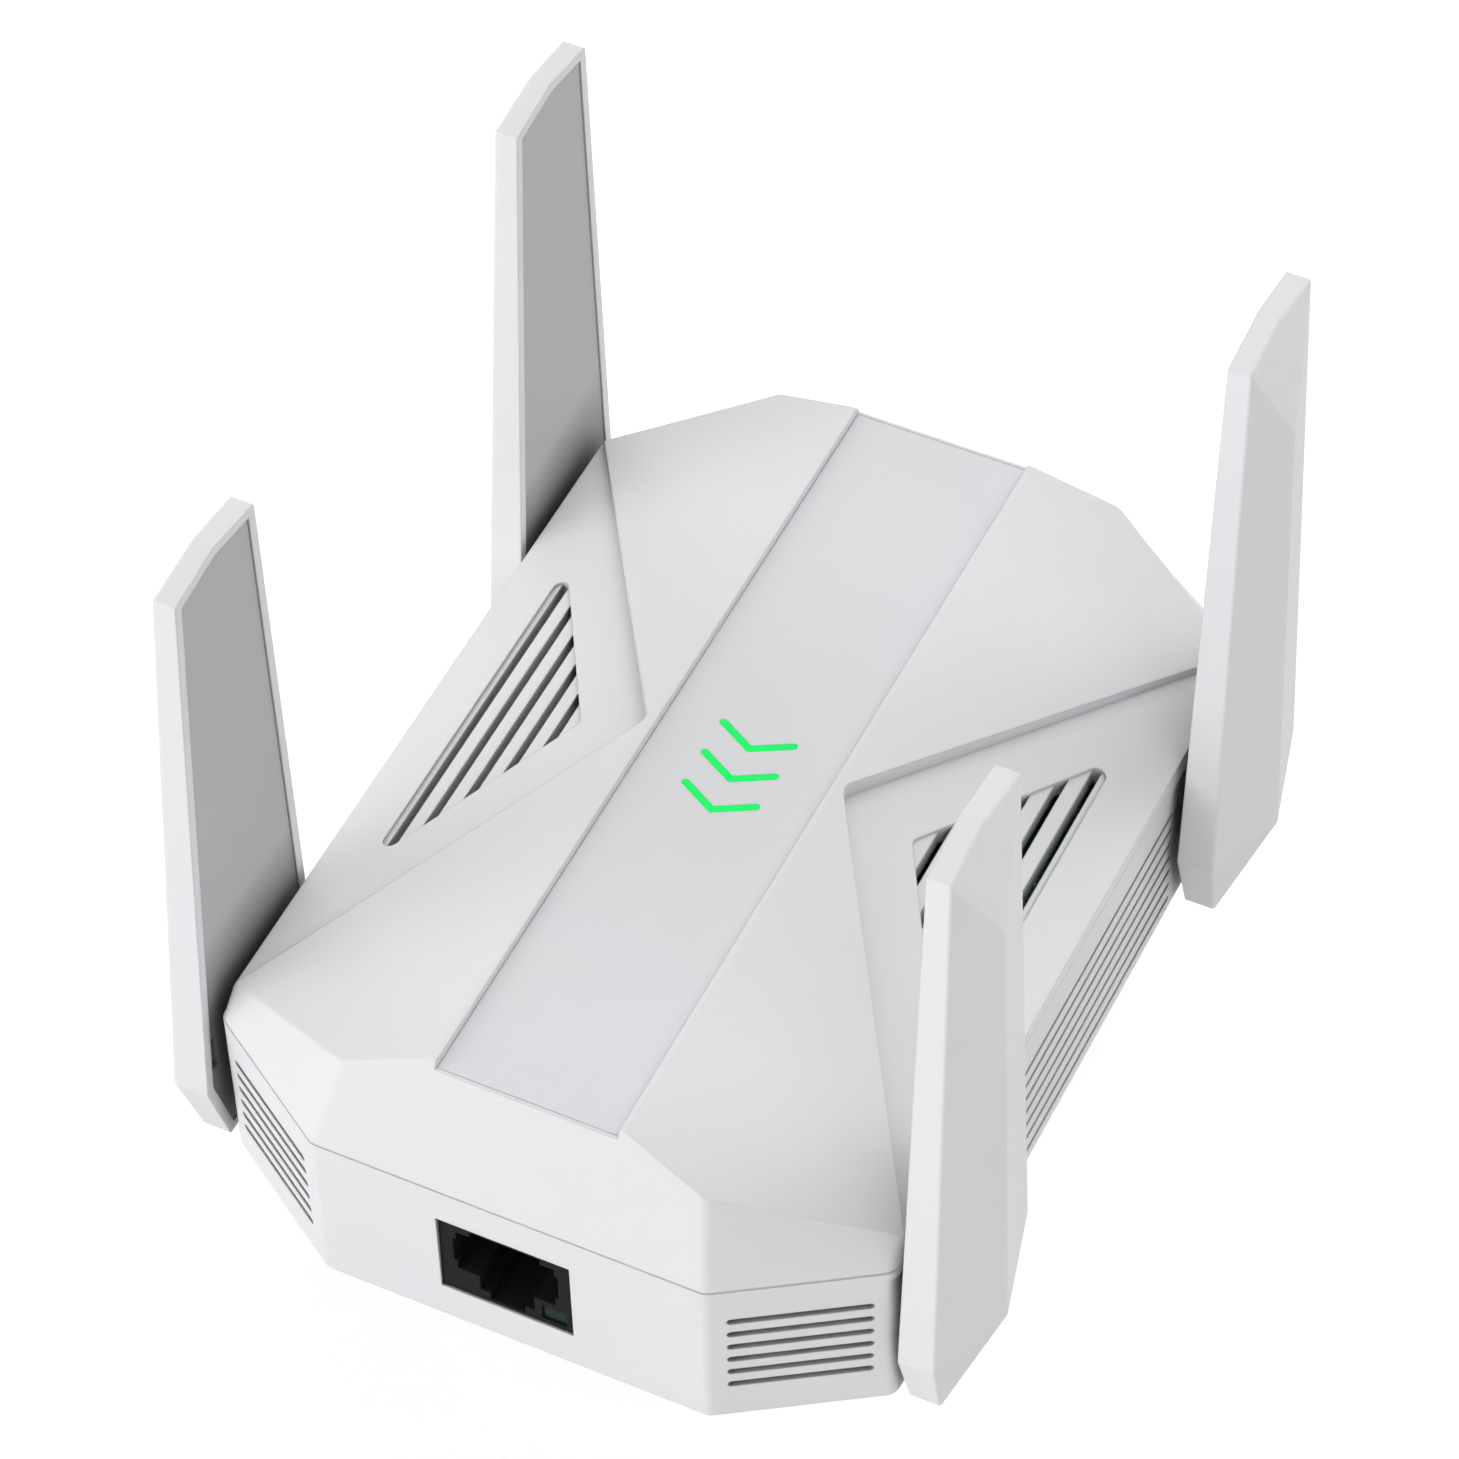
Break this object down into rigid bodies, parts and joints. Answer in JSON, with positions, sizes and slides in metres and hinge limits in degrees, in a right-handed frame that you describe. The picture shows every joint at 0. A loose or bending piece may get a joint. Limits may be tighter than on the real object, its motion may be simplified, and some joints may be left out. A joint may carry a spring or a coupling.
{
  "type": "wifi range extender",
  "caption": "Wall plug-in wifi range extender with swinging blade antennas, vented wedge body, Ethernet port, mains blades and lit chevron display.",
  "frame": {"origin": "centre of the flat back face that faces the wall", "axes": "+Z away from the wall, out of the front cover; +Y along the body, away from the Ethernet port; +X across the body"},
  "size_m": [0.0974, 0.1174, 0.1038],
  "materials": {
    "antenna_grey": "matte",
    "antenna_laminate": "solder mask",
    "antenna_white": "satin",
    "black_plastic": "matte",
    "blade_brass": "nickel plated",
    "capacitor_sleeve": "sleeve",
    "carrier_plastic": "satin",
    "centre_panel": "satin",
    "chip_black": "matte",
    "circuit_board": "solder mask",
    "coax_jacket": "matte",
    "contact_gold": "gold flash",
    "ferrite": "sintered",
    "fuse_ceramic": "ceramic",
    "heat_sink_alloy": "plain",
    "jack_plastic": "satin",
    "lead_red": "satin",
    "led_green": "tinted",
    "led_lens": "clear",
    "light_guide": "lit green",
    "pad_grey": "matte",
    "power_laminate": "bare laminate",
    "screw_steel": "zinc plated",
    "spring_steel": "plain",
    "tinned_steel": "plain",
    "white_hinge": "satin",
    "white_shell": "satin",
    "winding_tape": "tape"
  },
  "bodies": {
    "main_body": {"blade_carrier": "carrier_plastic", "board_header": "black_plastic", "board_screws": "screw_steel", "bridge_rectifier": "chip_black", "bulk_capacitors": "capacitor_sleeve", "centre_panel": "centre_panel", "chevron_guide": "light_guide", "choke": "ferrite", "coax_leads": "coax_jacket", "ethernet_jack": "jack_plastic", "front_cover": "white_shell", "heat_sink": "heat_sink_alloy", "housing_screws": "screw_steel", "jack_contacts": "contact_gold", "lan_magnetics": "chip_black", "light_shield": "black_plastic", "link_led": "led_green", "main_board": "circuit_board", "mains_fuse": "fuse_ceramic", "memory_chips": "chip_black", "output_capacitors": "capacitor_sleeve", "plug_blades": "blade_brass", "power_board": "power_laminate", "power_transformer": "ferrite", "processor": "chip_black", "radio_chips": "chip_black", "radio_shield": "tinned_steel", "rear_housing": "white_shell", "status_leds": "led_lens", "supply_leads": "lead_red", "switch_board": "circuit_board", "tact_switches": "black_plastic", "thermal_pad": "pad_grey", "transformer_winding": "winding_tape"},
    "antenna_front_left": {"antenna_board_front_left": "antenna_laminate", "antenna_cover_front_left": "antenna_grey", "antenna_lead_front_left": "coax_jacket", "antenna_shell_front_left": "antenna_white", "hinge_clip_front_left": "spring_steel", "hinge_pivot_front_left": "white_hinge"},
    "antenna_front_right": {"antenna_board_front_right": "antenna_laminate", "antenna_cover_front_right": "antenna_grey", "antenna_lead_front_right": "coax_jacket", "antenna_shell_front_right": "antenna_white", "hinge_clip_front_right": "spring_steel", "hinge_pivot_front_right": "white_hinge"},
    "antenna_rear_left": {"antenna_board_rear_left": "antenna_laminate", "antenna_cover_rear_left": "antenna_grey", "antenna_lead_rear_left": "coax_jacket", "antenna_shell_rear_left": "antenna_white", "hinge_clip_rear_left": "spring_steel", "hinge_pivot_rear_left": "white_hinge"},
    "antenna_rear_right": {"antenna_board_rear_right": "antenna_laminate", "antenna_cover_rear_right": "antenna_grey", "antenna_lead_rear_right": "coax_jacket", "antenna_shell_rear_right": "antenna_white", "hinge_clip_rear_right": "spring_steel", "hinge_pivot_rear_right": "white_hinge"},
    "wps_push": {"wps_button": "white_shell"},
    "reset_push": {"reset_button": "white_shell"}
  },
  "joints": [
    {"name": "front_left_antenna_swing", "type": "hinge", "parent": "main_body", "child": "antenna_front_left", "pos_m": [-0.0414, -0.0378, 0.0094], "axis": [1, 0, 0], "range_deg": [-20, 90]},
    {"name": "front_right_antenna_swing", "type": "hinge", "parent": "main_body", "child": "antenna_front_right", "pos_m": [0.0414, -0.0378, 0.0094], "axis": [1, 0, 0], "range_deg": [-20, 90]},
    {"name": "rear_left_antenna_swing", "type": "hinge", "parent": "main_body", "child": "antenna_rear_left", "pos_m": [-0.0414, 0.0378, 0.0094], "axis": [1, 0, 0], "range_deg": [-90, 20]},
    {"name": "rear_right_antenna_swing", "type": "hinge", "parent": "main_body", "child": "antenna_rear_right", "pos_m": [0.0414, 0.0378, 0.0094], "axis": [1, 0, 0], "range_deg": [-90, 20]},
    {"name": "wps_button_press", "type": "slide", "parent": "main_body", "child": "wps_push", "axis": [0, -1, 0], "range_m": [0, 0.0006]},
    {"name": "reset_button_press", "type": "slide", "parent": "main_body", "child": "reset_push", "axis": [0, -1, 0], "range_m": [0, 0.0005]}
  ]
}
